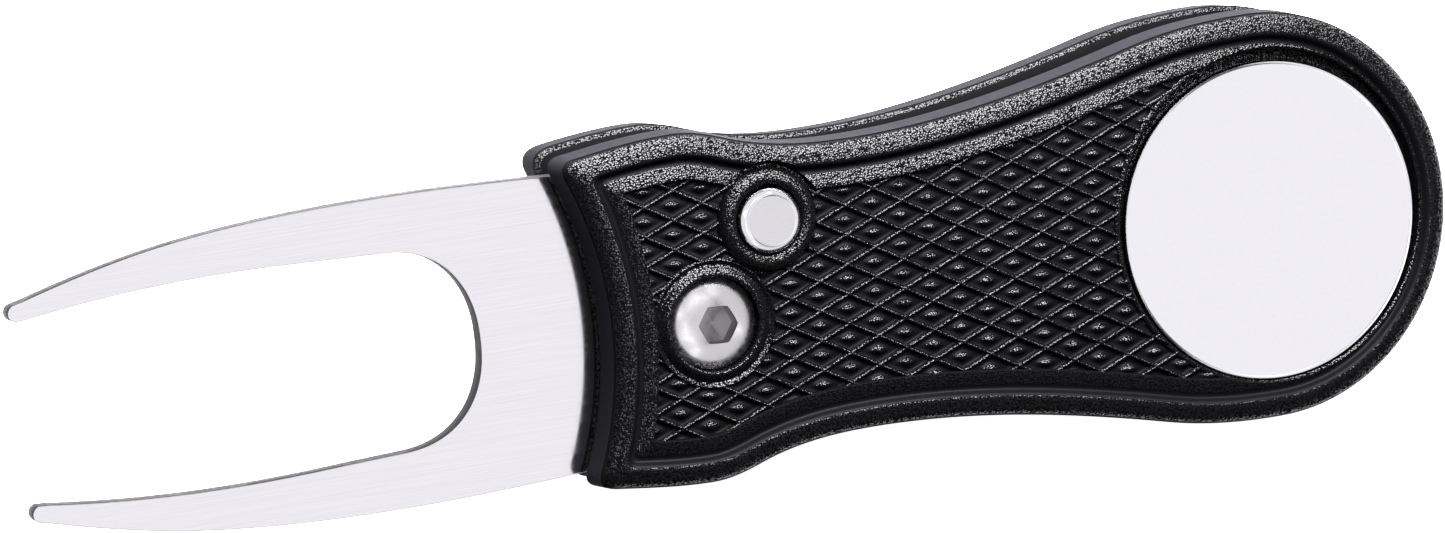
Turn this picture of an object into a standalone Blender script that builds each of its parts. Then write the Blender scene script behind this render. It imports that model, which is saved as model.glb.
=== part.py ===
"""Folding divot repair tool.

A two-prong fork swings out of the gap between two moulded handle scales. The tool lies on its
back: +Z leaves the front face, +X runs towards the round end and the fork points towards -X.
The origin is the middle of the open tool, on the plane that it lies on. All sizes are in
millimetres and become metres when a mesh is made.
"""

import math

import bmesh
import bpy

MM = 0.001

# ---- driving dimensions -----------------------------------------------------------------
OPEN_LENGTH = 115.6  # fork tips to round end
HEAD_R = 16.0  # round end of the handle
HEAD_X = OPEN_LENGTH / 2 - HEAD_R
SCALE_T = 3.6  # thickness of each handle scale
GAP = 4.8  # clear gap between the scales
BACK_IN = SCALE_T  # inner face of the back scale
FRONT_IN = BACK_IN + GAP  # inner face of the front scale
TOP = FRONT_IN + SCALE_T
FIT = 0.1  # clearance between pieces that touch

# the side of a scale from the head to the mouth, where it swells and narrows:
# distance from the head's centre towards the fork, half width, slope
SHOULDER = (10.0, 14.9, -0.25)
WAIST = (34.5, 11.25, 0.0)
RISE = (44.0, 12.6, 0.35)
CREST = (48.0, 13.45, 0.0)
MOUTH_SIDE = (60.0, 12.2, -0.1)
SCALE_SIDE = [(0.0, HEAD_R, 0.0), SHOULDER, WAIST, RISE, CREST, MOUTH_SIDE]
MOUTH = 55.1  # from the head's centre to the middle of the hollow end
MOUTH_R = 29.0  # radius of the hollow end
CORNER_R = 1.6

PANEL_INSET = 3.7
PANEL_DEPTH = 0.8

PIVOT_X = HEAD_X - 46.1
PIVOT_Y = -1.57
BUTTON_X = HEAD_X - 41.4
BUTTON_Y = 5.97
BUTTON_R = 2.45
BUTTON_TRAVEL = 2.0

MARKER_R = 12.5
MARKER_T = 1.3
MARKER_TOP = TOP - 0.45
RECESS_R = MARKER_R + 0.5
RECESS_X = HEAD_X + 0.55
MARKER_X = RECESS_X - 0.15
MARKER_Y = -0.4  # the marker rests against the lower side of its recess
RECESS_FLOOR = MARKER_TOP - MARKER_T - FIT
MAGNET_R = 6.0
MAGNET_T = 1.0

FORK_T = 1.6
FORK_TOP = FRONT_IN - 0.4
FORK_BOTTOM = FORK_TOP - FORK_T
FORK_TIP_X = -OPEN_LENGTH / 2
TIP_R = 0.66
TIP_Y = 7.45
# the fork's outer edge and its slot's edge: distance from the tips, half width, slope
PRONG_TIP = (1.4, 8.3, 0.28)
PRONG_BEND = (13.0, 10.8, 0.13)
FORK_WIDEST = (30.0, 11.75, 0.0)
FORK_ROOT = (52.0, 10.9, -0.04)
SLOT_SIDE = [(1.3, 6.85, 0.14), (16.5, 7.9, 0.0), (24.0, 7.7, -0.05)]
SLOT_END = 35.6  # from the tips to the bottom of the slot
SLOT_DEPTH = 7.2  # length of the slot's rounded bottom
SLOT_HALF = 7.53
SLOT_POWER = 2.25

FOLD_DEG = 182.0
TANG_R = 6.8
LOCK_R = 3.35  # notches for the button's lock collar
STOP_PIN = (-1.1, 10.8)  # from the pivot
STOP_PIN_R = 1.0

BARREL_R = 2.95
BUSH_R = BARREL_R + 0.06  # every hole that runs on the barrel
WASHER_R = 4.0
SLEEVE_R = 3.85
SPRING_POCKET_R = 5.6
SPRING_POCKET_Z = 3.0
COIL_R = 4.6
COIL_WIRE_R = 0.35
COIL_TURNS = 3
SPRING_LEG_DEG = 200  # where the coil starts and ends, round the pivot

POST_R = 1.8
POST_X = HEAD_X + 10.6  # out of the folded fork's reach
POST_Y = 5.0
REAR_SEAT = PANEL_DEPTH + 0.15  # where the rear screws' countersinks start
PAD_R = 9.4  # round flat on the back, which the tool rests on

ROUND = 48  # sides of a large turned piece
SMALL = 32  # sides of a small one


# ---- materials --------------------------------------------------------------------------
def material(name, colour, roughness, metallic):
    made = bpy.data.materials.new(name)
    made.use_nodes = True
    shader = made.node_tree.nodes["Principled BSDF"]
    shader.inputs["Base Color"].default_value = (*colour, 1.0)
    shader.inputs["Roughness"].default_value = roughness
    shader.inputs["Metallic"].default_value = metallic
    return made


def clear_scene():
    for old in list(bpy.data.objects):
        bpy.data.objects.remove(old)


# ---- meshes -----------------------------------------------------------------------------
def add_object(name, bm, mat, origin=(0.0, 0.0)):
    """An object from a mesh in millimetres, its origin at (x, y) on the floor plane."""
    bmesh.ops.recalc_face_normals(bm, faces=bm.faces)
    for vertex in bm.verts:
        vertex.co.x = (vertex.co.x - origin[0]) * MM
        vertex.co.y = (vertex.co.y - origin[1]) * MM
        vertex.co.z *= MM
    mesh = bpy.data.meshes.new(name)
    bm.to_mesh(mesh)
    bm.free()
    if mat:
        mesh.materials.append(mat)
    mesh.shade_smooth()
    mesh.set_sharp_from_angle(angle=math.radians(35))
    obj = bpy.data.objects.new(name, mesh)
    obj.location = (origin[0] * MM, origin[1] * MM, 0)
    bpy.context.scene.collection.objects.link(obj)
    return obj


def loft(bm, rings):
    """Joins rings of equal length and closes both ends."""
    rows = [[bm.verts.new(p) for p in ring] for ring in rings]
    count = len(rows[0])
    for low, high in zip(rows, rows[1:]):
        for i in range(count):
            j = (i + 1) % count
            bm.faces.new((low[i], low[j], high[j], high[i]))
    bm.faces.new(rows[0])
    bm.faces.new(rows[-1])


def prism(name, points, low, high, mat=None, origin=(0.0, 0.0)):
    bm = bmesh.new()
    loft(bm, [[(x, y, z) for x, y in points] for z in (low, high)])
    return add_object(name, bm, mat, origin)


def circle(x, y, radius, sides, start=0.0):
    step = 2 * math.pi / sides
    return [
        (x + radius * math.cos(start + i * step), y + radius * math.sin(start + i * step))
        for i in range(sides)
    ]


def turned(name, profile, centre, mat=None, sides=SMALL, origin=(0.0, 0.0)):
    """Turns a profile of (radius, height) about a vertical axis; solid where it ends at 0."""
    bm = bmesh.new()
    solid = profile[0][0] == 0
    outline = [(r, z) for r, z in profile if r > 0]
    rings = [[(x, y, z) for x, y in circle(*centre, r, sides)] for r, z in outline]
    if solid:
        loft(bm, rings)
    else:
        rows = [[bm.verts.new(p) for p in ring] for ring in rings]
        for low, high in zip(rows, rows[1:] + rows[:1]):
            for i in range(sides):
                j = (i + 1) % sides
                bm.faces.new((low[i], low[j], high[j], high[i]))
    return add_object(name, bm, mat, origin)


def cylinder(name, x, y, radius, low, high, mat=None, sides=SMALL):
    return turned(name, [(0, low), (radius, low), (radius, high), (0, high)], (x, y), mat, sides)


def boolean(target, tool, operation):
    """Applies a Boolean with a hidden tool object."""
    tool.hide_render = True
    tool.display_type = "WIRE"
    modifier = target.modifiers.new(operation.lower() + "_" + tool.name, "BOOLEAN")
    modifier.operation = operation
    modifier.object = tool


def bore(target, x, y, radius, low, high, sides=SMALL):
    stepped_bore(target, (x, y), [(radius, low, high)], sides)


def stepped_bore(target, centre, steps, sides=SMALL):
    """Cuts one hole whose (radius, low, high) stretches follow each other upwards."""
    profile = [(0, steps[0][1])]
    for radius, low, high in steps:
        profile += [(radius, low), (radius, high)]
    profile.append((0, steps[-1][2]))
    boolean(target, turned(target.name + "_bore", profile, centre, sides=sides), "DIFFERENCE")


# ---- curves -----------------------------------------------------------------------------
def feature_curve(features, steps):
    """A smooth curve through features of (distance, half width, slope), as a list of points."""
    points = []
    for (start, low, low_slope), (end, high, high_slope) in zip(features, features[1:]):
        span = end - start
        for k in range(steps):
            t = k / steps
            level = low + (high - low) * t**2 * (3 - 2 * t)
            lean = low_slope * t * (1 - t) ** 2 - high_slope * t**2 * (1 - t)
            points.append((start + span * t, level + span * lean))
    points.append(features[-1][:2])
    return points


def inset_run(points, inset):
    """Moves an open run of points sideways, to its right."""
    moved = []
    for i, (x, y) in enumerate(points):
        before = points[max(i - 1, 0)]
        after = points[min(i + 1, len(points) - 1)]
        dx, dy = after[0] - before[0], after[1] - before[1]
        length = math.hypot(dx, dy)
        moved.append((x + inset * dy / length, y - inset * dx / length))
    return moved


def mouth_x(y, inset):
    """Where the hollow end lies at height y."""
    centre = HEAD_X - MOUTH - MOUTH_R
    return centre + math.sqrt((MOUTH_R + inset) ** 2 - y**2)


def resample(points, count):
    lengths = [0.0]
    for a, b in zip(points, points[1:]):
        lengths.append(lengths[-1] + math.dist(a, b))
    out = []
    k = 0
    for i in range(count):
        want = lengths[-1] * i / (count - 1)
        while k < len(points) - 2 and lengths[k + 1] < want:
            k += 1
        t = (want - lengths[k]) / (lengths[k + 1] - lengths[k])
        out.append(tuple(p + (q - p) * t for p, q in zip(points[k], points[k + 1])))
    return out


def scale_outline(inset=0.0):
    """Outline of a scale, anticlockwise, moved inwards; the same count of points each time."""
    run = [(HEAD_X - d, w) for d, w in feature_curve(SCALE_SIDE, 12)]
    run = inset_run(run, -inset)
    corner = next(i for i, (x, y) in enumerate(run) if x < mouth_x(y, inset))
    radius = max(CORNER_R - inset, 0.3)
    side = run[:corner]
    while math.dist(side[-1], run[corner]) < radius:
        side.pop()
    start = side[-1]
    end_y = run[corner][1] - radius
    end = (mouth_x(end_y, inset), end_y)
    tip = (mouth_x(run[corner][1], inset), run[corner][1])
    fillet = []
    for k in range(1, 5):
        t = k / 5
        fillet.append(tuple(
            a * (1 - t) ** 2 + 2 * b * t * (1 - t) + c * t**2 for a, b, c in zip(start, tip, end)
        ))
    hollow = [(mouth_x(end_y * (1 - k / 8), inset), end_y * (1 - k / 8)) for k in range(8)]
    head = [
        (HEAD_X + (HEAD_R - inset) * math.cos(a), (HEAD_R - inset) * math.sin(a))
        for a in (math.pi / 2 * k / 12 for k in range(12))
    ]
    upper = head + resample(side, 34) + fillet + hollow
    lower = [(x, -y) for x, y in reversed(upper[1:])]
    middle = (mouth_x(0, inset), 0.0)
    return upper + [middle] + lower


def fork_outline():
    """The fork blade: prongs, slot, root and round tang, pointing towards -X."""
    outer = [PRONG_TIP, PRONG_BEND, FORK_WIDEST, FORK_ROOT]
    edge = [(FORK_TIP_X + d, w) for d, w in feature_curve(outer, 10)]
    slot = [(FORK_TIP_X + d, w) for d, w in feature_curve(SLOT_SIDE, 9)]
    bottom_x = FORK_TIP_X + SLOT_END
    round_end = []
    for k in range(1, 11):
        a = math.pi / 2 * (1 - k / 10)
        x = bottom_x - SLOT_DEPTH + SLOT_DEPTH * math.cos(a) ** (2 / SLOT_POWER)
        round_end.append((x, SLOT_HALF * math.sin(a) ** (2 / SLOT_POWER)))
    tip = [
        (FORK_TIP_X + TIP_R + TIP_R * math.cos(a), TIP_Y + TIP_R * math.sin(a))
        for a in (math.radians(105 + 25 * k) for k in range(7))
    ]
    inner = tip + slot + round_end[:-1]
    slot_run = inner + [(bottom_x, 0.0)] + [(x, -y) for x, y in reversed(inner)]
    shoulder = PIVOT_X + STOP_PIN[0] - STOP_PIN_R - 0.15
    upper_root = [(x, y) for x, y in reversed(edge) if x < shoulder - 1.0]
    corner_y = upper_root[0][1]
    top = [(shoulder, corner_y - 0.8), (shoulder - 0.6, corner_y)] + upper_root
    lower_root = [(x, -y) for x, y in edge if x < PIVOT_X - 8.0]
    notch = math.radians(lock_angle() - FOLD_DEG)
    inside = (PIVOT_X + 8.6 * math.cos(notch), PIVOT_Y + 8.6 * math.sin(notch))
    first = math.degrees(notch) + 8
    last = math.degrees(math.acos((shoulder - PIVOT_X) / TANG_R))
    tang = [
        (PIVOT_X + TANG_R * math.cos(a), PIVOT_Y + TANG_R * math.sin(a))
        for a in (math.radians(first + (last - first) * k / 30) for k in range(31))
    ]
    edge_y = lower_root[-1][1]
    return top + slot_run + lower_root + [(PIVOT_X - 6.4, edge_y), inside] + tang


def lock_angle():
    """Direction of the button from the pivot, in degrees."""
    return math.degrees(math.atan2(BUTTON_Y - PIVOT_Y, BUTTON_X - PIVOT_X))


# ---- the handle -------------------------------------------------------------------------
def scale_body(name, mat, front):
    """One scale with a rounded rim, a step and a recessed grip panel."""
    face = TOP if front else 0.0
    inner = FRONT_IN if front else BACK_IN
    out = 1 if front else -1
    steps = [(0, SCALE_T), (0, 0.65), (0.2, 0.25), (0.7, 0.0), (1.5, 0.0), (2.15, 0.45)]
    steps += [(PANEL_INSET - 0.1, 0.45), (PANEL_INSET, PANEL_DEPTH)]
    rings = []
    for inset, depth in steps:
        z = inner if depth == SCALE_T else face - out * depth
        rings.append([(x, y, z) for x, y in scale_outline(inset)])
    bm = bmesh.new()
    loft(bm, rings)
    return add_object(name, bm, mat)


def front_scale(mat):
    body = scale_body("front_scale", mat, True)
    floor = TOP - PANEL_DEPTH
    collar = [(0, floor - 0.5), (4.1, floor - 0.5), (4.1, floor), (3.6, TOP - 0.05), (0, TOP - 0.05)]
    boolean(body, turned("button_collar_add", collar, (BUTTON_X, BUTTON_Y)), "UNION")
    boss = [(0, floor - 0.5), (4.75, floor - 0.5), (4.75, floor + 0.2), (4.5, TOP - 0.2), (0, TOP - 0.2)]
    boolean(body, turned("screw_boss_add", boss, (PIVOT_X, PIVOT_Y)), "UNION")
    above = TOP + 1
    below = FRONT_IN - 1
    magnet_floor = RECESS_FLOOR - MAGNET_T - FIT
    magnet_pocket = (MAGNET_R + FIT, magnet_floor, RECESS_FLOOR)
    stepped_bore(body, (RECESS_X, 0), [magnet_pocket, (RECESS_R, RECESS_FLOOR, above)], ROUND)
    washer_roof, screw_seat = FRONT_IN + 0.3, TOP - 1.9
    steps = [(WASHER_R + FIT, below, washer_roof), (BUSH_R, washer_roof, screw_seat)]
    stepped_bore(body, (PIVOT_X, PIVOT_Y), steps + [(3.8, screw_seat, above)])
    seat = FRONT_IN + 0.95
    steps = [(1.5, below, seat), (BUTTON_R + 0.08, seat, above)]
    stepped_bore(body, (BUTTON_X, BUTTON_Y), steps)
    pin_x, pin_y = PIVOT_X + STOP_PIN[0], PIVOT_Y + STOP_PIN[1]
    bore(body, pin_x, pin_y, STOP_PIN_R + 0.05, below, FRONT_IN + 1.3)
    for y in (-POST_Y, POST_Y):
        bore(body, POST_X, y, POST_R + 0.05, below, FRONT_IN + 0.9, 24)


def back_scale(mat):
    body = scale_body("back_scale", mat, False)
    pad = [(0, 0), (PAD_R - 0.4, 0), (PAD_R, 0.4), (PAD_R, 1.4), (0, 1.4)]
    boolean(body, turned("back_pad_add", pad, (HEAD_X, 0), sides=ROUND), "UNION")
    boss = [(0, 0.2), (4.9, 0.2), (5.2, 0.8), (5.2, 1.4), (0, 1.4)]
    boolean(body, turned("nut_boss_add", boss, (PIVOT_X, PIVOT_Y)), "UNION")
    inner = BACK_IN + 1
    nut_seat = 1.5
    steps = [(4.1, -1, nut_seat), (BUSH_R, nut_seat, SPRING_POCKET_Z)]
    stepped_bore(body, (PIVOT_X, PIVOT_Y), steps + [(SPRING_POCKET_R, SPRING_POCKET_Z, inner)])
    bore(body, BUTTON_X, BUTTON_Y, 2.9, 1.3, inner)
    pin_x, pin_y = PIVOT_X + STOP_PIN[0], PIVOT_Y + STOP_PIN[1]
    bore(body, pin_x, pin_y, STOP_PIN_R + 0.05, 2.2, inner)
    for y in (-POST_Y, POST_Y):
        seat = [(0, -1), (2.1, -1), (2.1, REAR_SEAT), (1.05, REAR_SEAT + 1.05)]
        seat += [(1.05, inner), (0, inner)]
        boolean(body, turned("rear_screw_seat", seat, (POST_X, y)), "DIFFERENCE")


def rear_posts(metal, screw_metal):
    """Threaded posts between the scales, each held by a countersunk screw from the back."""
    for name, y in (("lower", -POST_Y), ("upper", POST_Y)):
        low, high = BACK_IN + FIT, FRONT_IN + 0.8
        hole = 1.0
        profile = [(hole, low), (POST_R, low), (POST_R, high), (hole, high)]
        turned("rear_post_" + name, profile, (POST_X, y), metal, 24)
        face = REAR_SEAT - 0.1
        head = [(0, face + 0.6), (0.7, face + 0.6), (0.7, face), (1.85, face), (1.95, face + 0.1)]
        head.append((0.9, face + 1.15))
        shank = [(0.9, high - 0.8), (0.7, high - 0.5), (0, high - 0.5)]
        turned("rear_screw_" + name, head + shank, (POST_X, y), screw_metal, 24)


# ---- the pivot --------------------------------------------------------------------------
def pivot(metal, polished, spring_steel):
    centre = (PIVOT_X, PIVOT_Y)
    head_low, head_high = TOP - 1.75, TOP + 0.25
    head_r, socket_r = 3.5, 1.5
    dome = []
    for k in range(5):
        a = math.radians(15 + 50 * k / 4)
        dome.append((head_r * math.cos(a), head_low + 0.25 + (head_high - head_low) * math.sin(a)))
    profile = [(0, 4.0), (1.75, 4.0), (1.95, 4.4), (1.95, head_low), (head_r, head_low)] + dome
    profile += [(socket_r, head_high), (0, head_high)]
    screw = turned("pivot_screw", profile, centre, polished, SMALL)
    hexagon = circle(*centre, socket_r, 6, math.radians(-4))
    boolean(screw, prism("hex_key", hexagon, head_high - 1.2, head_high + 1), "DIFFERENCE")

    flange = [(0, 0.25), (3.6, 0.25), (3.9, 0.5), (3.9, 1.4), (BARREL_R, 1.4)]
    flange += [(BARREL_R, TOP - 2.1), (2.05, TOP - 2.1), (2.05, 3.7), (0, 3.7)]
    nut = turned("pivot_barrel_nut", flange, centre, metal, SMALL)
    slot = [(PIVOT_X + x, PIVOT_Y + y) for x, y in ((-5, -0.5), (5, -0.5), (5, 0.5), (-5, 0.5))]
    boolean(nut, prism("nut_slot", slot, -1, 0.9), "DIFFERENCE")

    front = [(BUSH_R, FORK_TOP + FIT), (WASHER_R, FORK_TOP + FIT)]
    front += [(WASHER_R, FRONT_IN + 0.2), (BUSH_R, FRONT_IN + 0.2)]
    turned("washer_front", front, centre, metal, SMALL)
    back = [(BUSH_R, FORK_BOTTOM - 0.5), (WASHER_R, FORK_BOTTOM - 0.5)]
    back += [(WASHER_R, FORK_BOTTOM - FIT), (BUSH_R, FORK_BOTTOM - FIT)]
    turned("washer_back", back, centre, metal, SMALL)
    low, high = SPRING_POCKET_Z + FIT, FORK_BOTTOM - 0.6
    turned("spring_sleeve", [(BUSH_R, low), (SLEEVE_R, low), (SLEEVE_R, high), (BUSH_R, high)],
           centre, metal, SMALL)
    torsion_spring(spring_steel)


def sweep(name, path, radius, mat, sides=8):
    """A round wire along a path of points."""
    curve = bpy.data.curves.new(name, "CURVE")
    curve.dimensions = "3D"
    curve.bevel_depth = radius * MM
    curve.bevel_resolution = sides // 4 - 1
    curve.use_fill_caps = True
    spline = curve.splines.new("POLY")
    spline.points.add(len(path) - 1)
    for point, (x, y, z) in zip(spline.points, path):
        point.co = (x * MM, y * MM, z * MM, 1)
    curve.materials.append(mat)
    obj = bpy.data.objects.new(name, curve)
    bpy.context.scene.collection.objects.link(obj)
    return obj


def torsion_spring(mat):
    """A coil round the sleeve: one leg against the pocket's wall, the other up into the tang."""
    low = SPRING_POCKET_Z + FIT + COIL_WIRE_R
    high = FORK_BOTTOM - FIT - COIL_WIRE_R
    start = math.radians(SPRING_LEG_DEG)
    foot = start - math.radians(15)
    foot_r = SPRING_POCKET_R - COIL_WIRE_R - 0.05
    path = [(PIVOT_X + foot_r * math.cos(foot), PIVOT_Y + foot_r * math.sin(foot), low)]
    steps = COIL_TURNS * 20
    for k in range(steps + 1):
        a = start + 2 * math.pi * COIL_TURNS * k / steps
        path.append((PIVOT_X + COIL_R * math.cos(a), PIVOT_Y + COIL_R * math.sin(a),
                     low + (high - low) * k / steps))
    x, y, z = path[-1]
    path.append((x, y, z + 0.35))
    path.append((x, y, FORK_TOP - 0.4))
    sweep("torsion_spring", path, COIL_WIRE_R, mat)


def fork(mat):
    blade = prism("fork_blade", fork_outline(), FORK_BOTTOM, FORK_TOP, mat, (PIVOT_X, PIVOT_Y))
    bore(blade, PIVOT_X, PIVOT_Y, BUSH_R, FORK_BOTTOM - 1, FORK_TOP + 1)
    a = math.radians(SPRING_LEG_DEG)
    leg = (PIVOT_X + COIL_R * math.cos(a), PIVOT_Y + COIL_R * math.sin(a))
    bore(blade, *leg, 0.55, FORK_BOTTOM - 1, FORK_TOP + 1, 16)
    reach = math.dist((BUTTON_X, BUTTON_Y), (PIVOT_X, PIVOT_Y))
    for degrees in (lock_angle(), lock_angle() - FOLD_DEG):
        a = math.radians(degrees)
        spot = (PIVOT_X + reach * math.cos(a), PIVOT_Y + reach * math.sin(a))
        bore(blade, *spot, LOCK_R, FORK_BOTTOM - 1, FORK_TOP + 1)


def stop_pin(mat):
    x, y = PIVOT_X + STOP_PIN[0], PIVOT_Y + STOP_PIN[1]
    cylinder("stop_pin", x, y, STOP_PIN_R, 2.3, FRONT_IN + 1.2, mat, 24)


# ---- the button -------------------------------------------------------------------------
def button(metal, spring_steel):
    centre = (BUTTON_X, BUTTON_Y)
    top = TOP + 0.35
    cap_low = FRONT_IN + 1.0 + BUTTON_TRAVEL
    collar_r = 1.95
    profile = [(0, 5.2), (1.0, 5.2), (1.0, FORK_BOTTOM - FIT), (collar_r, FORK_BOTTOM - FIT)]
    profile += [(collar_r, FRONT_IN - FIT), (1.4, FRONT_IN - FIT), (1.4, cap_low)]
    profile += [(BUTTON_R, cap_low), (BUTTON_R, top - 0.35), (BUTTON_R - 0.35, top), (0, top)]
    turned("release_button", profile, centre, metal, SMALL, centre)
    wire, radius, turns = 0.22, 1.55, 6
    low, high = 1.4 + wire, FORK_BOTTOM - 2 * FIT - wire
    path = []
    for k in range(turns * 16 + 1):
        t = k / (turns * 16)
        a = 2 * math.pi * turns * t
        path.append((BUTTON_X + radius * math.cos(a), BUTTON_Y + radius * math.sin(a),
                     low + (high - low) * t))
    sweep("button_spring", path, wire, spring_steel)


# ---- the marker -------------------------------------------------------------------------
def marker(silver, magnet_metal):
    top, low = MARKER_TOP, MARKER_TOP - MARKER_T
    profile = [(0, low), (MARKER_R - 0.1, low), (MARKER_R, low + 0.1), (MARKER_R, top - 0.15)]
    profile += [(MARKER_R - 0.15, top), (0, top)]
    centre = (MARKER_X, MARKER_Y)
    turned("ball_marker", profile, centre, silver, 64, centre)
    magnet_low = RECESS_FLOOR - MAGNET_T
    cylinder("marker_magnet", RECESS_X, 0, MAGNET_R, magnet_low, RECESS_FLOOR - FIT, magnet_metal, ROUND)


def build():
    clear_scene()
    black = material("black_moulding", (0.012, 0.012, 0.014), 0.38, 0.0)
    brushed = material("brushed_steel", (0.78, 0.78, 0.79), 0.32, 1.0)
    satin = material("satin_steel", (0.72, 0.72, 0.73), 0.25, 1.0)
    spring_steel = material("spring_steel", (0.45, 0.45, 0.47), 0.3, 1.0)
    marker_silver = material("marker_silver", (0.86, 0.86, 0.88), 0.35, 1.0)
    nickel = material("magnet_nickel", (0.65, 0.64, 0.62), 0.2, 1.0)
    front_scale(black)
    back_scale(black)
    rear_posts(satin, satin)
    pivot(satin, satin, spring_steel)
    fork(brushed)
    stop_pin(satin)
    button(satin, spring_steel)
    marker(marker_silver, nickel)


build()
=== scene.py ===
"""Looks for the folding divot repair tool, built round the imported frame.

Lengths are in millimetres in the frame's axes and become metres when a mesh is made: +X runs
towards the round end, +Z leaves the front face, and the fork points towards -X.
"""

import math

import bmesh
import bpy
from mathutils import Matrix, Vector


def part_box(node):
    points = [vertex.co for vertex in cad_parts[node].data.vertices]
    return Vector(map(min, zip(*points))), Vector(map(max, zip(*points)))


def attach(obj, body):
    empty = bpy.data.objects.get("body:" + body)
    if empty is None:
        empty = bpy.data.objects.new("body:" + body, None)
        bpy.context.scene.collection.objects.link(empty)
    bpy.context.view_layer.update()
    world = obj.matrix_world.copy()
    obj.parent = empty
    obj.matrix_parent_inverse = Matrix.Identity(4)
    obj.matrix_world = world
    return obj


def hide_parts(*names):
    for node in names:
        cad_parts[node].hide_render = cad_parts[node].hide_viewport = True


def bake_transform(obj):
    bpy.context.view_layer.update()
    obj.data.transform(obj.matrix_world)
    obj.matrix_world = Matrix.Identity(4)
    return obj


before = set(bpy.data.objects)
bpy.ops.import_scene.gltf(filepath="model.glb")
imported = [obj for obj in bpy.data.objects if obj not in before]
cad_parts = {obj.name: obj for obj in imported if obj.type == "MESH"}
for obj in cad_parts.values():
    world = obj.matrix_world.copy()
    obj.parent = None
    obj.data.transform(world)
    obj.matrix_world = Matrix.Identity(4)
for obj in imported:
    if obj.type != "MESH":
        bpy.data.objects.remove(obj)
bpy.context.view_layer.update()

MM = 0.001


# ---- places and sizes read from the frame -----------------------------------------------
def corners(node):
    low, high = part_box(node)
    return low / MM, high / MM


def middle(node):
    low, high = corners(node)
    return (low + high) / 2


def half_width(node):
    low, high = corners(node)
    return (high.y - low.y) / 2


FRONT_LOW, FRONT_HIGH = corners("front_scale")
TOP = round(FRONT_HIGH.z, 3)
FRONT_IN = FRONT_LOW.z
BACK_IN = corners("back_scale")[1].z
HEAD_R = half_width("front_scale")
HEAD_X = FRONT_HIGH.x - HEAD_R
PIVOT = middle("pivot_barrel_nut")
BUTTON = middle("release_button")
BUTTON_R = half_width("release_button")
BUTTON_TOP = corners("release_button")[1].z
SCREW_HEAD = PIVOT + Vector((-0.45, 0.36, 0))  # the head lies a little off the shank's centre
MARKER = middle("ball_marker")
MARKER_R = half_width("ball_marker")
MARKER_LOW, MARKER_TOP = corners("ball_marker")[0].z, corners("ball_marker")[1].z
MAGNET = middle("marker_magnet")
RECESS_R = MARKER_R + 0.5
RECESS_FLOOR = MARKER_LOW - 0.1
FORK_LOW, FORK_HIGH = corners("fork_blade")
PIN = middle("stop_pin")
PIN_R = half_width("stop_pin")
REAR_SCREWS = [middle("rear_screw_lower"), middle("rear_screw_upper")]
WASHER_R = half_width("washer_front")
BARREL_R, BARREL_BORE_R = 2.95, 3.01  # the nut's barrel and the holes round it

# ---- the handle's outline ---------------------------------------------------------------
# where the side swells and narrows: distance from the head's centre, half width, slope
SHOULDER = (10.0, 14.9, -0.25)
WAIST = (34.5, 11.25, 0.0)
RISE = (44.0, 12.6, 0.35)
CREST = (48.0, 13.45, 0.0)
MOUTH_SIDE = (60.0, 12.2, -0.1)
SCALE_SIDE = [(0.0, HEAD_R, 0.0), SHOULDER, WAIST, RISE, CREST, MOUTH_SIDE]
MOUTH = 54.85  # from the head's centre to the middle of the hollow end
MOUTH_R = 29.0
CORNER_R = 1.6
BACK_MOUTH, BACK_CORNER_R = 54.4, 2.2
NOSE_R = 15.88  # the round end is slightly flattened
# the hollow end sits a little askew: where that starts and is full, its shift and its turn
BEND_FROM, BEND_TO = 14.0, -12.0
BEND_RISE, BEND_TURN = 0.2, 0.013
HEAD_STEPS, SIDE_STEPS, CORNER_STEPS, MOUTH_STEPS = 44, 150, 12, 26

# ---- cross-section of a scale: inset from the edge, depth below the face ---------------------
STEP_INSET = 2.15  # groove between the two rim bands
PANEL_INSET = 3.7
MOUTH_SQUEEZE = 0.98  # the inner band is narrower along the hollow end
WALL_TOP = 0.72
RIM_LINE = [(0.1, WALL_TOP), (0.24, 0.7), (0.27, 0.64), (0.22, 0.59)]
OUTER_BAND = [
    (0.22, 0.53), (0.28, 0.44), (0.42, 0.33), (0.7, 0.2), (1.05, 0.09), (1.35, 0.03),
    (1.55, 0.0), (1.7, 0.015), (1.82, 0.07), (1.92, 0.2), (2.0, 0.38), (2.08, 0.52),
    (STEP_INSET, 0.58),
]
INNER_BAND = [
    (2.27, 0.6), (2.4, 0.575), (2.5, 0.53), (2.62, 0.48), (2.9, 0.4), (3.25, 0.31),
    (3.5, 0.25), (3.58, 0.25), (3.64, 0.32),
]
GROOVES = [(0.0, 0.28), (1.65, 2.5), (3.55, 3.7)]  # insets between which the plastic is smooth, with little gloss: painted shade in the grooves
PANEL_FLOOR = 0.86
# inset, height off the inner face
EDGE_CHAMFER = [(1.4, 0.0), (0.42, 0.0), (0.3, 0.04), (0.12, 0.16), (0.08, 0.24), (0.0, 0.26)]

# ---- the grip lattice ---------------------------------------------------------------------
CELL_HALF_X, CELL_HALF_Y = 2.32, 1.13  # half diagonals of one diamond
LATTICE_TURN = math.radians(-3.89)
LATTICE_AT = (13.8, 6.77)  # one crossing of two ridges
RIDGE_HEIGHT, RIDGE_HALF = 0.4, 0.25
NUB_HEIGHT, NUB_START, NUB_FULL = 0.42, 0.5, 0.93  # distances from the ridges' middle lines
GRAIN_FROM = 0.16  # the grain starts this high above the floor; below it the floor is smooth and hardly glossy, painted shade between the ridges
CELL_CUTS = [0, 0.03, 0.065, 0.1, 0.14, 0.2, 0.27, 0.34, 0.42, 0.5]
BACK_CELL_CUTS = [0, 0.035, 0.08, 0.14, 0.22, 0.31, 0.4, 0.5]  # coarser: the back has more cells
LATTICE_INSET = 3.1  # the lattice ends under the inner band
LATTICE_REACH = 14  # cells counted either way from the crossing
PANEL_HALF, PANEL_START, PANEL_STOP = 13.5, -13.5, 55.0  # a box round every cell that can be inside
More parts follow.
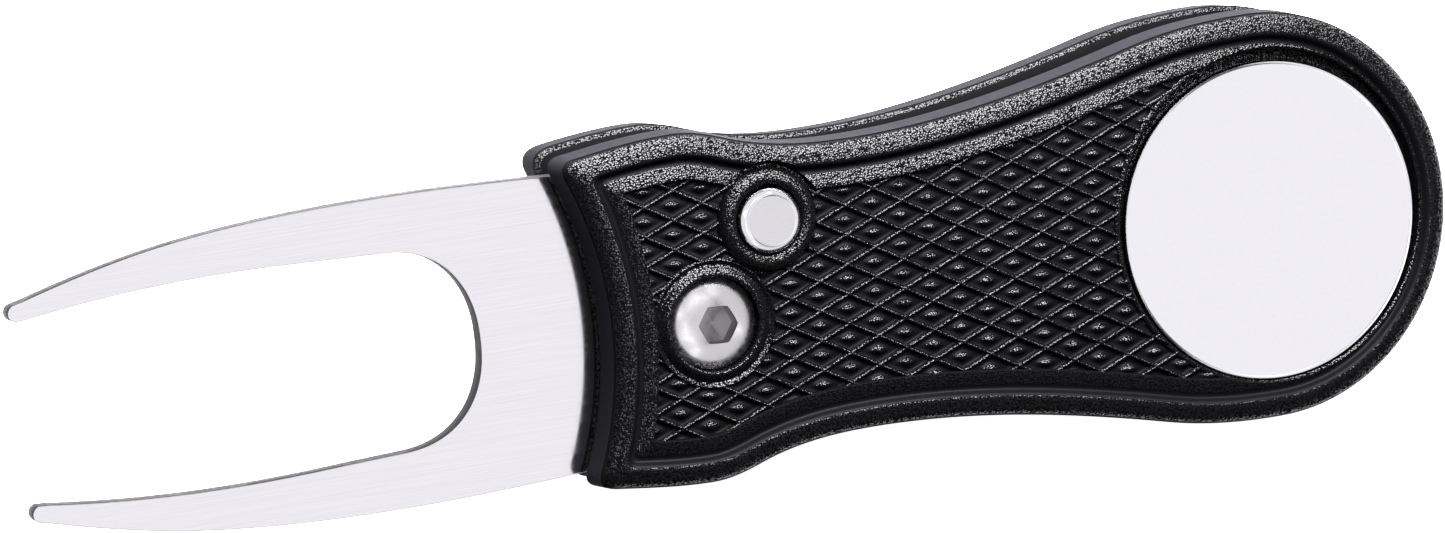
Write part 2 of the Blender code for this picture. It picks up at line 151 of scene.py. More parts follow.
SLAB_THICK, SLAB_PROUD = 0.25, 0.02  # below its own floor, and of that floor over the moulding's

# ---- the fork -----------------------------------------------------------------------------
TIP_R, TIP_Y = 0.66, 7.45
# the fork's outer edge and its slot's edge: distance from the tips, half width, slope
PRONG_TIP = (1.4, 8.3, 0.28)
PRONG_BEND = (13.0, 10.8, 0.13)
FORK_WIDEST = (30.0, 11.75, 0.0)
FORK_ROOT = (52.0, 10.9, -0.04)
SLOT_SIDE = [(1.3, 6.85, 0.14), (16.5, 7.9, 0.0), (24.0, 7.7, -0.05)]
SLOT_END, SLOT_DEPTH, SLOT_HALF, SLOT_POWER = 35.6, 7.2, 7.53, 2.25
TANG_R = 6.8
TANG_STEPS, TIP_STEPS, SLOT_STEPS = 90, 20, 40
HEEL_R, HEEL_START, HEEL_END = 8.6, 8.0, 6.4  # distances from the pivot
LOCK_R = 3.35  # the two notches for the button
FOLD_DEG = 182.0  # from open to folded
SPRING_LEG_DEG = 200.0  # where the coil starts round the pivot
COIL_R, COIL_WIRE_R, COIL_TURNS = 4.6, 0.35, 3

FINE = 96  # sides of a small turned piece
ROUND = 192  # sides of a large one


# ---- nodes for materials --------------------------------------------------------------------
def shader(name, colour, roughness, metallic=0.0, specular=0.5):
    """A material with a Principled shader, and the shader node."""
    made = bpy.data.materials.new(name)
    made.use_nodes = True
    principled = made.node_tree.nodes["Principled BSDF"]
    principled.inputs["Base Color"].default_value = (*colour, 1.0)
    principled.inputs["Roughness"].default_value = roughness
    principled.inputs["Metallic"].default_value = metallic
    principled.inputs["Specular IOR Level"].default_value = specular
    return made, principled


def node(mat, kind, **inputs):
    made = mat.node_tree.nodes.new(kind)
    for label, value in inputs.items():
        made.inputs[label.replace("_", " ")].default_value = value
    return made


def join(mat, source, output, target, label):
    mat.node_tree.links.new(source.outputs[output], target.inputs[label])


def stretched(mat, scale):
    """Object coordinates in metres, scaled unevenly."""
    coords = node(mat, "ShaderNodeTexCoord")
    mapping = node(mat, "ShaderNodeMapping", Scale=scale)
    join(mat, coords, "Object", mapping, "Vector")
    return mapping


def bump(mat, source, output, principled, distance, strength, below=None):
    made = node(mat, "ShaderNodeBump", Distance=distance, Strength=strength)
    join(mat, source, output, made, "Height")
    if below:
        join(mat, below, "Normal", made, "Normal")
    join(mat, made, "Normal", principled, "Normal")
    return made


def spread(mat, source, output, target, label, low, high, clear=(0.3, 0.7)):
    """Maps a texture's value to a number or a grey that drives one of the shader's sockets."""
    made = node(mat, "ShaderNodeMapRange")
    for socket, value in zip(("From Min", "From Max", "To Min", "To Max"), (*clear, low, high)):
        made.inputs[socket].default_value = value
    join(mat, source, output, made, "Value")
    join(mat, made, "Result", target, label)


# ---- materials --------------------------------------------------------------------------------
def grained_black():
    """Moulded black plastic with a fine pebble grain: shiny pebbles, with painted shade in the gaps,
    where the gloss fades to nothing.
    """
    mat, principled = shader("grained_black", (0.0012, 0.0012, 0.0014), 0.22)
    place = stretched(mat, (1, 1, 1))
    pebbles = node(mat, "ShaderNodeTexVoronoi", Scale=6200.0, Randomness=0.78)
    pebbles.feature = "SMOOTH_F1"
    pebbles.inputs["Smoothness"].default_value = 0.2
    join(mat, place, "Vector", pebbles, "Vector")
    waves = node(mat, "ShaderNodeTexNoise", Scale=900.0, Detail=3.0)
    join(mat, place, "Vector", waves, "Vector")
    broad = bump(mat, waves, "Fac", principled, 0.00004, 0.15)
    domes = bump(mat, pebbles, "Distance", principled, 0.00005, 1.0, broad)
    domes.invert = True
    # The gloss fades from the pebbles' middles to none in the gaps: painted shade between the pebbles.
    spread(mat, pebbles, "Distance", principled, "Specular IOR Level", 0.5, 0.0, (0.14, 0.62))
    return mat


def plain_black(name, colour, roughness, specular):
    """The same plastic where the mould was smooth, for the side walls; with its gloss turned down it is
    also painted shade in the grooves, on the grip's floor and on the fork's side walls.
    """
    mat, principled = shader(name, colour, roughness, specular=specular)
    faint = node(mat, "ShaderNodeTexNoise", Scale=2600.0, Detail=4.0)
    join(mat, stretched(mat, (1, 1, 0.25)), "Vector", faint, "Vector")
    bump(mat, faint, "Fac", principled, 0.00001, 0.4)
    spread(mat, faint, "Fac", principled, "Roughness", roughness - 0.04, roughness + 0.05)
    return mat


def brushed_steel():
    """Stainless steel, finely brushed along the fork."""
    mat, principled = shader("brushed_steel", (0.9, 0.9, 0.905), 0.12, metallic=1.0)
    streaks = node(mat, "ShaderNodeTexNoise", Scale=700.0, Detail=3.0, Roughness=0.5)
    join(mat, stretched(mat, (0.11, 4.0, 1)), "Vector", streaks, "Vector")
    fine = node(mat, "ShaderNodeTexNoise", Scale=2600.0, Detail=2.0)
    join(mat, stretched(mat, (0.05, 4.0, 1)), "Vector", fine, "Vector")
    bump(mat, streaks, "Fac", principled, 0.000004, 0.2)
    spread(mat, streaks, "Fac", principled, "Roughness", 0.09, 0.14)
    tint = node(mat, "ShaderNodeMix")
    tint.data_type = "RGBA"
    tint.inputs[6].default_value = (0.875, 0.87, 0.885, 1)
    tint.inputs[7].default_value = (0.925, 0.92, 0.93, 1)
    spread(mat, fine, "Fac", tint, "Factor", 0.0, 1.0)
    mat.node_tree.links.new(tint.outputs[2], principled.inputs["Base Color"])
    return mat


def satin_metal(name, colour, roughness, grain=1500.0, depth=0.000008):
    """Bead-blasted or tumbled metal: an even, very fine grain."""
    mat, principled = shader(name, colour, roughness, metallic=1.0)
    place = stretched(mat, (1, 1, 1))
    speck = node(mat, "ShaderNodeTexNoise", Scale=grain, Detail=4.0, Roughness=0.6)
    join(mat, place, "Vector", speck, "Vector")
    bump(mat, speck, "Fac", principled, depth, 0.5)
    spread(mat, speck, "Fac", principled, "Roughness", roughness - 0.05, roughness + 0.06)
    return mat


def turned_metal(name, colour, roughness, pitch=0.16):
    """Metal with the fine rings that turning leaves, centred on the object's own axis."""
    mat, principled = shader(name, colour, roughness, metallic=1.0)
    place = stretched(mat, (1, 1, 1))
    rings = node(mat, "ShaderNodeTexWave", Scale=1 / (pitch * MM) / 20, Distortion=0.6, Detail=2.0)
    rings.wave_type = "RINGS"
    rings.rings_direction = "Z"
    join(mat, place, "Vector", rings, "Vector")
    bump(mat, rings, "Fac", principled, 0.000006, 0.35)
    speck = node(mat, "ShaderNodeTexNoise", Scale=1800.0, Detail=3.0)
    join(mat, place, "Vector", speck, "Vector")
    spread(mat, speck, "Fac", principled, "Roughness", roughness - 0.04, roughness + 0.08)
    return mat


# ---- meshes -------------------------------------------------------------------------------------
def finish_mesh(name, bm, mats, at=(0.0, 0.0), sharp=38.0):
    """An object from a bmesh in millimetres; its origin is at (x, y) on the floor plane."""
    bmesh.ops.recalc_face_normals(bm, faces=bm.faces)
    for vertex in bm.verts:
        vertex.co = Vector((vertex.co.x - at[0], vertex.co.y - at[1], vertex.co.z)) * MM
    mesh = bpy.data.meshes.new(name)
    bm.to_mesh(mesh)
    bm.free()
    for mat in mats:
        mesh.materials.append(mat)
    smooth(mesh, sharp)
    obj = bpy.data.objects.new(name, mesh)
    obj.location = (at[0] * MM, at[1] * MM, 0)
    bpy.context.scene.collection.objects.link(obj)
    return obj


def smooth(mesh, sharp):
    mesh.shade_smooth()
    mesh.set_sharp_from_angle(angle=math.radians(sharp))


def loft(bm, rings, slots=None):
    """Joins closed rings of equal length and caps both ends."""
    rows = [[bm.verts.new(p) for p in ring] for ring in rings]
    count = len(rows[0])
    for k, (low, high) in enumerate(zip(rows, rows[1:])):
        for i in range(count):
            j = (i + 1) % count
            face = bm.faces.new((low[i], low[j], high[j], high[i]))
            face.material_index = slots[k] if slots else 0
    for row in (rows[0], rows[-1]):
        bm.faces.new(row)


def circle(x, y, radius, sides, start=0.0):
    step = 2 * math.pi / sides
    return [
        (x + radius * math.cos(start + i * step), y + radius * math.sin(start + i * step))
        for i in range(sides)
    ]


def prism(name, points, low, high, mats=()):
    bm = bmesh.new()
    loft(bm, [[(x, y, z) for x, y in points] for z in (low, high)])
    return finish_mesh(name, bm, mats)


def turned(name, profile, centre, mats=(), sides=FINE, sharp=38.0):
    """Turns a profile of (radius, height); it is solid when it starts at radius 0."""
    bm = bmesh.new()
    rings = [
        [(x, y, z) for x, y in circle(centre[0], centre[1], r, sides)] for r, z in profile if r > 0
    ]
    if profile[0][0] == 0:
        loft(bm, rings)
    else:
        rows = [[bm.verts.new(p) for p in ring] for ring in rings]
        for low, high in zip(rows, rows[1:] + rows[:1]):
            for i in range(sides):
                j = (i + 1) % sides
                bm.faces.new((low[i], low[j], high[j], high[i]))
    return finish_mesh(name, bm, mats, (centre[0], centre[1]), sharp)


def combine(target, tool, operation):
    modifier = target.modifiers.new(tool.name, "BOOLEAN")
    modifier.operation = operation
    modifier.object = tool


def settle(target, sharp=38.0):
    """Applies the Booleans, removes their tools and shades the result."""
    tools = [m.object for m in target.modifiers]
    evaluated = target.evaluated_get(bpy.context.evaluated_depsgraph_get())
    mesh = bpy.data.meshes.new_from_object(evaluated)
    target.modifiers.clear()
    target.data = mesh
    for tool in tools:
        bpy.data.objects.remove(tool)
    smooth(mesh, sharp)
    even = target.modifiers.new("even_normals", "WEIGHTED_NORMAL")
    even.keep_sharp = True
    return target


# ---- curves -------------------------------------------------------------------------------------
def feature_curve(features, steps):
    """A smooth curve through features of (distance, half width, slope), as a list of points."""
    points = []
    for (start, low, low_slope), (end, high, high_slope) in zip(features, features[1:]):
        span = end - start
        for k in range(steps):
            t = k / steps
            level = low + (high - low) * t**2 * (3 - 2 * t)
            lean = low_slope * t * (1 - t) ** 2 - high_slope * t**2 * (1 - t)
            points.append((start + span * t, level + span * lean))
    points.append(features[-1][:2])
    return points


def offset_run(points, distance, closed=False):
    """Moves a run of points sideways, to its left when the distance is positive."""
    moved = []
    count = len(points)
    for i, (x, y) in enumerate(points):
        before = points[i - 1] if closed else points[max(i - 1, 0)]
        after = points[(i + 1) % count] if closed else points[min(i + 1, count - 1)]
        dx, dy = after[0] - before[0], after[1] - before[1]
        length = math.hypot(dx, dy)
        moved.append((x - distance * dy / length, y + distance * dx / length))
    return moved


def resample(points, count):
    """Evenly spaced points along a run."""
    lengths = [0.0]
    for a, b in zip(points, points[1:]):
        lengths.append(lengths[-1] + math.dist(a, b))
    out = []
    k = 0
    for i in range(count):
        want = lengths[-1] * i / (count - 1)
        while k < len(points) - 2 and lengths[k + 1] < want:
            k += 1
        t = (want - lengths[k]) / (lengths[k + 1] - lengths[k])
        out.append(tuple(p + (q - p) * t for p, q in zip(points[k], points[k + 1])))
    return out


def smoothstep(low, high, value):
    t = min(max((value - low) / (high - low), 0.0), 1.0)
    return t * t * (3 - 2 * t)


def mouth_x(y, inset, mouth):
    """Where the hollow end lies at height y."""
    if inset > STEP_INSET:
        inset = STEP_INSET + (inset - STEP_INSET) * MOUTH_SQUEEZE
    centre = HEAD_X - mouth - MOUTH_R
    return centre + math.sqrt((MOUTH_R + inset) ** 2 - y**2)


EDGE_RUN = [(HEAD_X - d, w) for d, w in feature_curve(SCALE_SIDE, steps=45)]


def scale_outline(inset=0.0, mouth=MOUTH, corner_r=CORNER_R):
    """Outline of a scale moved inwards, anticlockwise, always with the same count of points."""
    run = offset_run(EDGE_RUN, inset)
    corner = next(i for i, (x, y) in enumerate(run) if x < mouth_x(y, inset, mouth))
    radius = max(corner_r - 0.35 * inset, 0.4)
    tip = run[corner]
    side = run[:corner]
    while math.dist(side[-1], tip) < radius:
        side.pop()
    end_y = tip[1] - radius
    start, end = side[-1], (mouth_x(end_y, inset, mouth), end_y)
    fillet = []
    for k in range(1, CORNER_STEPS + 1):
        t = k / (CORNER_STEPS + 1)
        fillet.append(tuple(
            a * (1 - t) ** 2 + 2 * b * t * (1 - t) + c * t**2 for a, b, c in zip(start, tip, end)
        ))
    hollow = [end_y * (1 - k / MOUTH_STEPS) for k in range(MOUTH_STEPS)]
    head = []
    for k in range(HEAD_STEPS):
        a = math.pi / 2 * k / HEAD_STEPS
        head.append((HEAD_X + (NOSE_R - inset) * math.cos(a), (HEAD_R - inset) * math.sin(a)))
    upper = head + resample(side, SIDE_STEPS) + fillet + [(mouth_x(y, inset, mouth), y) for y in hollow]
    lower = [(x, -y) for x, y in reversed(upper[1:])]
    bent = []
    for x, y in upper + [(mouth_x(0, inset, mouth), 0.0)] + lower:
        t = smoothstep(BEND_FROM, BEND_TO, x)
        bent.append((x - BEND_TURN * t * y, y + BEND_RISE * t))
    return bent


def inside(point, outline):
    x, y = point
    found = False
    for (ax, ay), (bx, by) in zip(outline, outline[1:] + outline[:1]):
        if (ay > y) != (by > y) and x < ax + (y - ay) * (bx - ax) / (by - ay):
            found = not found
    return found


# ---- the handle scales ----------------------------------------------------------------------
def scale_body(name, mats, front):
    """One moulded scale: smooth wall, two grained rim bands and the sunk floor of the grip."""
    face, inner, out = (TOP, FRONT_IN, 1) if front else (0.0, BACK_IN, -1)
    ends = (MOUTH, CORNER_R) if front else (BACK_MOUTH, BACK_CORNER_R)
    steps = [(inset, inner + out * height) for inset, height in EDGE_CHAMFER]
    # Slot 2 is the groove material, painted shade on the inner face and in the grooves; slot 1 is the
    # wall, slot 0 the grain.
    slots = [2, 0, 0, 2, 2]
    upper = RIM_LINE + OUTER_BAND + INNER_BAND + [(PANEL_INSET, PANEL_FLOOR)]
    steps += [(inset, face - out * depth) for inset, depth in upper]
    slots += [1]
    for inset, depth in upper[:-1]:
        slots.append(2 if any(low <= inset < high for low, high in GROOVES) else 0)
    bm = bmesh.new()
    loft(bm, [[(x, y, z) for x, y in scale_outline(inset, *ends)] for inset, z in steps], slots)
    return finish_mesh(name, bm, mats)


def at_depth(profile, front):
    """Turns (radius, depth below the face) into (radius, height)."""
    return [(r, TOP - depth if front else depth) for r, depth in profile]


BUTTON_COLLAR = [
    (0, 1.3), (4.1, 1.3), (4.02, 0.75), (3.9, 0.48), (3.72, 0.25), (3.5, 0.1), (3.25, 0.03),
    (3.05, 0.03), (2.85, 0.09), (2.7, 0.2), (2.6, 0.36), (2.56, 0.6), (0, 0.6),
]
COLLAR_MOAT = [(0, PANEL_FLOOR), (4.25, PANEL_FLOOR), (4.36, 0.6), (4.45, 0.3), (4.62, -0.2), (0, -0.2)]
SCREW_BOSS = [
    (0, 1.3), (5.05, 1.3), (5.0, 0.7), (4.93, 0.58), (4.82, 0.53), (4.72, 0.57), (4.62, 0.68),
    (4.5, 0.72), (4.4, 0.66), (4.22, 0.5), (4.02, 0.36), (3.86, 0.27), (3.76, 0.26), (3.68, 0.3),
    (3.62, 0.4), (0, 0.4),
]
RECESS_LIP = [(0, 1.3), (13.5, 1.3), (13.45, 0.7), (13.36, 0.58), (13.24, 0.54), (0, 0.54)]


def front_moulding(mats):
    body = scale_body("front_moulding", mats, True)
    combine(body, turned("moat", at_depth(COLLAR_MOAT, True), BUTTON), "DIFFERENCE")
    combine(body, turned("boss", at_depth(SCREW_BOSS, True), SCREW_HEAD), "UNION")
    combine(body, turned("collar", at_depth(BUTTON_COLLAR, True), BUTTON), "UNION")
    combine(body, turned("lip", at_depth(RECESS_LIP, True), MAGNET, sides=ROUND), "UNION")
    pocket_floor = corners("marker_magnet")[0].z - 0.1
    magnet_r = half_width("marker_magnet") + 0.1
    recess = [(0, pocket_floor), (magnet_r, pocket_floor), (magnet_r, RECESS_FLOOR)]
    recess += [(RECESS_R, RECESS_FLOOR), (RECESS_R, TOP - 0.66), (RECESS_R + 0.16, TOP - 0.5)]
    recess += [(RECESS_R + 0.5, TOP + 0.3), (0, TOP + 0.3)]
    combine(body, turned("recess", recess, MAGNET, sides=ROUND), "DIFFERENCE")
    below = FRONT_IN - 1
    bore = [(0, below), (WASHER_R + 0.1, below), (WASHER_R + 0.1, FRONT_IN + 0.3)]
    bore += [(BARREL_BORE_R, FRONT_IN + 0.3), (BARREL_BORE_R, TOP - 2.2), (0, TOP - 2.2)]
    combine(body, turned("pivot_bore", bore, PIVOT), "DIFFERENCE")
    bore = [(0, TOP - 2.3), (2.2, TOP - 2.3), (2.2, TOP - 1.9), (3.6, TOP - 1.9)]
    bore += [(3.6, TOP + 1), (0, TOP + 1)]
    combine(body, turned("head_bore", bore, SCREW_HEAD), "DIFFERENCE")
    bore = [(0, below), (1.5, below), (1.5, FRONT_IN + 0.95), (BUTTON_R + 0.08, FRONT_IN + 0.95)]
    bore += [(BUTTON_R + 0.08, TOP + 1), (0, TOP + 1)]
    combine(body, turned("button_bore", bore, BUTTON), "DIFFERENCE")
    hole = [(0, below), (PIN_R + 0.05, below), (PIN_R + 0.05, FRONT_IN + 1.3), (0, FRONT_IN + 1.3)]
    combine(body, turned("pin_hole", hole, PIN), "DIFFERENCE")
    return settle(body)


REST_PAD_R = 9.4
REST_PAD = [(0, 1.3), (REST_PAD_R, 1.3), (REST_PAD_R, 0.35), (9.3, 0.12), (9.1, 0.0), (0, 0.0)]
NUT_BOSS = [
    (0, 1.3), (5.3, 1.3), (5.22, 0.7), (5.1, 0.4), (4.9, 0.24), (4.6, 0.2), (4.35, 0.24),
    (4.2, 0.4), (0, 0.4),
]
SCREW_PAD = [(0, 1.3), (3.0, 1.3), (2.94, 0.85), (2.85, 0.72), (2.7, 0.68), (0, 0.68)]
REAR_SEAT = 0.95


def back_moulding(mats):
    body = scale_body("back_moulding", mats, False)
    combine(body, turned("pad", REST_PAD, (HEAD_X, 0), sides=ROUND), "UNION")
    combine(body, turned("nut_boss", NUT_BOSS, PIVOT), "UNION")
    pocket_z, pocket_r = 3.0, 5.6
    above = BACK_IN + 1
    bore = [(0, -1), (4.1, -1), (4.1, 1.5), (BARREL_BORE_R, 1.5), (BARREL_BORE_R, pocket_z)]
    bore += [(pocket_r, pocket_z), (pocket_r, above), (0, above)]
    combine(body, turned("nut_bore", bore, PIVOT), "DIFFERENCE")
    wells = [("spring_hole", BUTTON, 2.9, 1.3), ("pin_hole", PIN, PIN_R + 0.05, 2.2)]
    for name, spot, radius, low in wells:
        hole = [(0, low), (radius, low), (radius, above), (0, above)]
        combine(body, turned(name, hole, spot), "DIFFERENCE")
    for k, spot in enumerate(REAR_SCREWS):
        combine(body, turned(f"screw_pad_{k}", SCREW_PAD, spot), "UNION")
    for k, spot in enumerate(REAR_SCREWS):
        seat = [(0, -1), (2.1, -1), (2.1, REAR_SEAT), (1.05, REAR_SEAT + 1.05)]
        seat += [(1.05, above), (0, above)]
        combine(body, turned(f"screw_seat_{k}", seat, spot), "DIFFERENCE")
    return settle(body)


# ---- the grip lattice ---------------------------------------------------------------------------
def lattice_height(across, along):
    """Height above the floor at two distances from the nearest ridges."""
    ridges = max(1 - smoothstep(0.04, RIDGE_HALF, across), 1 - smoothstep(0.04, RIDGE_HALF, along))
    nub = smoothstep(NUB_START, NUB_FULL, across) * smoothstep(NUB_START, NUB_FULL, along)
    return max(RIDGE_HEIGHT * ridges, NUB_HEIGHT * nub)


def lattice_points(half_cuts):
    """The grip's points by their place in the grid: x, y and the height above the floor."""
    side = math.hypot(CELL_HALF_X, CELL_HALF_Y)
    spacing = 2 * CELL_HALF_X * CELL_HALF_Y / side
    cuts = half_cuts[:-1] + [1 - c for c in reversed(half_cuts[1:])]
    per_cell = len(cuts)
    hidden_edge = scale_outline(LATTICE_INSET)
    cos_t, sin_t = math.cos(LATTICE_TURN), math.sin(LATTICE_TURN)
    reach = LATTICE_REACH * per_cell
    points = {}
    for i in range(-reach, reach):
        for j in range(-reach, reach):
            u = i // per_cell + cuts[i % per_cell]
            v = j // per_cell + cuts[j % per_cell]
            p, q = (u + v) * CELL_HALF_X, (u - v) * CELL_HALF_Y
            x = LATTICE_AT[0] + p * cos_t - q * sin_t
            y = LATTICE_AT[1] + p * sin_t + q * cos_t
            in_box = abs(y) < PANEL_HALF and PANEL_START < x < PANEL_STOP
            if in_box and inside((x, y), hidden_edge):
                height = lattice_height(spacing * abs(u - round(u)), spacing * abs(v - round(v)))
                points[i, j] = (x, y, height)
    return points


def lattice_slab(name, mats, front, holes, half_cuts):
    """Crossing ridges with a rounded nub in each diamond, on a closed slab that ends under the rim."""
    floor = TOP - PANEL_FLOOR + SLAB_PROUD if front else PANEL_FLOOR - SLAB_PROUD
    out = 1 if front else -1
    base = floor - out * SLAB_THICK
    points = lattice_points(half_cuts)
    bm = bmesh.new()
    upper = {k: bm.verts.new((x, y, floor + out * h)) for k, (x, y, h) in points.items()}
    lower = {k: bm.verts.new((x, y, base)) for k, (x, y, h) in points.items()}
    edges = {}  # edges met once so far; those left at the end bound the slab
    for i, j in points:
        cell = [(i, j), (i + 1, j), (i + 1, j + 1), (i, j + 1)]
        if all(k in points for k in cell):
            face = bm.faces.new([upper[k] for k in cell])
            # Faces low on the floor take the groove material: painted shade between the ridges.
            face.material_index = 1 if sum(points[k][2] for k in cell) < 4 * GRAIN_FROM else 0
            bm.faces.new([lower[k] for k in reversed(cell)])
            for a, b in zip(cell, cell[1:] + cell[:1]):
                if (b, a) in edges:
                    del edges[b, a]
                else:
                    edges[a, b] = True
    for a, b in edges:
        bm.faces.new((upper[b], upper[a], lower[a], lower[b]))
    bmesh.ops.delete(bm, geom=[v for v in bm.verts if not v.link_faces], context="VERTS")
    slab = finish_mesh(name, bm, mats, sharp=75.0)
    for k, (spot, radius) in enumerate(holes):
        cut = [(0, floor - 3), (radius, floor - 3), (radius, floor + 3), (0, floor + 3)]
        combine(slab, turned(f"{name}_hole_{k}", cut, spot, sides=ROUND), "DIFFERENCE")
    return settle(slab, 75.0)


# ---- the fork -------------------------------------------------------------------------------------
def lock_angle():
    """Direction of the button from the pivot, in degrees."""
    return math.degrees(math.atan2(BUTTON.y - PIVOT.y, BUTTON.x - PIVOT.x))


def arc(centre, radius, first, last, steps):
    """Points on a circle between two directions in degrees."""
    turns = (math.radians(first + (last - first) * k / steps) for k in range(steps + 1))
    return [(centre[0] + radius * math.cos(a), centre[1] + radius * math.sin(a)) for a in turns]


def fork_slot(tip_x):
    """Round the upper tip, along the slot and back to the lower tip."""
    side = [(tip_x + d, w) for d, w in feature_curve(SLOT_SIDE, steps=36)]
    bottom_x = tip_x + SLOT_END
    bottom = []
    for k in range(1, SLOT_STEPS):
        a = math.pi / 2 * (1 - k / SLOT_STEPS)
        x = bottom_x - SLOT_DEPTH + SLOT_DEPTH * math.cos(a) ** (2 / SLOT_POWER)
        bottom.append((x, SLOT_HALF * math.sin(a) ** (2 / SLOT_POWER)))
    upper = arc((tip_x + TIP_R, TIP_Y), TIP_R, 105, 255, TIP_STEPS) + side + bottom
    return upper + [(bottom_x, 0.0)] + [(x, -y) for x, y in reversed(upper)]


def fork_outline():
    """Prongs, slot, root and round tang, pointing towards -X."""
    tip_x = FORK_LOW.x
    outer = [PRONG_TIP, PRONG_BEND, FORK_WIDEST, FORK_ROOT]
    edge = [(tip_x + d, w) for d, w in feature_curve(outer, steps=40)]
    shoulder = PIN.x - PIN_R - 0.15
    upper_root = [(x, y) for x, y in reversed(edge) if x < shoulder - 1.0]
    corner_y = upper_root[0][1]
    top = [(shoulder, corner_y - 0.8), (shoulder - 0.2, corner_y - 0.25), (shoulder - 0.6, corner_y)]
    lower_root = [(x, -y) for x, y in edge if x < PIVOT.x - HEEL_START]
    fold = lock_angle() - FOLD_DEG
    notch = math.radians(fold)
    corner = (PIVOT.x + HEEL_R * math.cos(notch), PIVOT.y + HEEL_R * math.sin(notch))
    heel = [(PIVOT.x - HEEL_END, lower_root[-1][1]), corner]
    last = math.degrees(math.acos((shoulder - PIVOT.x) / TANG_R))
    tang = arc(PIVOT, TANG_R, fold + 8, last, TANG_STEPS)
    return top + upper_root + fork_slot(tip_x) + lower_root + heel + tang


def fork_piece(mats):
    """The blade with its edges broken, the pivot hole, the spring's hole and the lock notches."""
    outline = fork_outline()
    low, high = FORK_LOW.z, FORK_HIGH.z
    steps = [(0.09, low), (0.03, low + 0.03), (0, low + 0.1), (0, high - 0.1), (0.03, high - 0.03)]
    bm = bmesh.new()
    rings = []
    for inset, z in steps + [(0.09, high)]:
        rings.append([(x, y, z) for x, y in offset_run(outline, inset, closed=True)])
    # The side walls take the second material's dark grey: painted shade on the steel's cut edges.
    loft(bm, rings, [0, 1, 1, 1, 0])
    blade = finish_mesh("fork_steel", bm, mats)
    below, above = low - 1, high + 1

    def hole(name, spot, radius, sides=FINE):
        cut = [(0, below), (radius, below), (radius, above), (0, above)]
        combine(blade, turned(name, cut, spot, sides=sides), "DIFFERENCE")

    hole("pivot_hole", PIVOT, BARREL_BORE_R)
    a = math.radians(SPRING_LEG_DEG)
    hole("leg_hole", (PIVOT.x + COIL_R * math.cos(a), PIVOT.y + COIL_R * math.sin(a)), 0.55, 32)
    reach = math.dist((BUTTON.x, BUTTON.y), (PIVOT.x, PIVOT.y))
    for name, degrees in (("open_notch", lock_angle()), ("fold_notch", lock_angle() - FOLD_DEG)):
        a = math.radians(degrees)
        hole(name, (PIVOT.x + reach * math.cos(a), PIVOT.y + reach * math.sin(a)), LOCK_R)
    return settle(blade)


# ---- screws, button and marker --------------------------------------------------------------------
def pivot_screw(mats):
    """Button-head screw: a low dome, a hexagonal socket with a conical floor, and its shank."""
    low, high = corners("pivot_screw")
    head_low, head_r, dome_r = TOP - 1.75, 3.5, 4.9
    crest_r = 1.1
    rise = high.z - math.sqrt(dome_r**2 - crest_r**2)
    shank = [(0, low.z), (1.75, low.z), (1.95, low.z + 0.4), (1.95, head_low + 0.4), (0, head_low + 0.4)]
    profile = [(0, head_low), (head_r - 0.1, head_low), (head_r, head_low + 0.1)]
    for k in range(13):
        r = head_r - (head_r - crest_r) * k / 12
        profile.append((r, rise + math.sqrt(dome_r**2 - r**2)))
    profile += [(0, high.z)]
    screw = turned("pivot_screw_head", profile, SCREW_HEAD, mats)
    combine(screw, turned("shank", shank, PIVOT), "UNION")
    socket_r, depth = 1.55, 1.25
    turn = math.radians(-4)
    bm = bmesh.new()
    rings = []
    for r, z in ((0.2, high.z - depth - 0.35), (socket_r, high.z - depth), (socket_r, high.z - 0.2)):
        rings.append([(x, y, z) for x, y in circle(SCREW_HEAD.x, SCREW_HEAD.y, r, 6, turn)])
    wide = circle(SCREW_HEAD.x, SCREW_HEAD.y, socket_r + 0.2, 6, turn)
    rings.append([(x, y, high.z + 0.1) for x, y in wide])
    loft(bm, rings)
    socket = finish_mesh("socket", bm, ())
    # The cut leaves the socket's walls and floor in the darker steel: painted shade in the hollow.
    for face in socket.data.polygons:
        face.material_index = 1
    combine(screw, socket, "DIFFERENCE")
    return settle(screw, 30.0)


def barrel_nut(mats):
    r, top = BARREL_R, corners("pivot_barrel_nut")[1].z
    profile = [(0, 0.25), (3.5, 0.25), (3.75, 0.32), (3.87, 0.46), (3.9, 0.6), (3.9, 1.4), (r, 1.4)]
    profile += [(r, top - 0.1), (r - 0.1, top), (2.05, top), (2.05, 3.7), (0, 3.7)]
    nut = turned("barrel_nut", profile, PIVOT, mats)
    slot = [(PIVOT.x + x, PIVOT.y + y) for x, y in ((-5, -0.5), (5, -0.5), (5, 0.5), (-5, 0.5))]
    combine(nut, prism("nut_slot", slot, -1, 0.9), "DIFFERENCE")
    return settle(nut, 30.0)


def rear_screw(name, cad_node, mats):
    low, high = corners(cad_node)
    spot = middle(cad_node)
    z = low.z
    profile = [(0, z), (1.78, z), (1.9, z + 0.04), (1.95, z + 0.1), (0.9, z + 1.15), (0.9, high.z - 0.3)]
    screw = turned(name, profile + [(0.7, high.z), (0, high.z)], spot, mats, 64)
    for k, turn in enumerate((20, 110)):
        a = math.radians(turn)
        across, along = Vector((-math.sin(a), math.cos(a))) * 0.17, Vector((math.cos(a), math.sin(a)))
        ends = [spot.xy + along * s * 0.95 + across * t for s, t in ((-1, -1), (1, -1), (1, 1), (-1, 1))]
        combine(screw, prism(f"{name}_cross_{k}", ends, z - 1, z + 0.6), "DIFFERENCE")
    return settle(screw, 30.0)


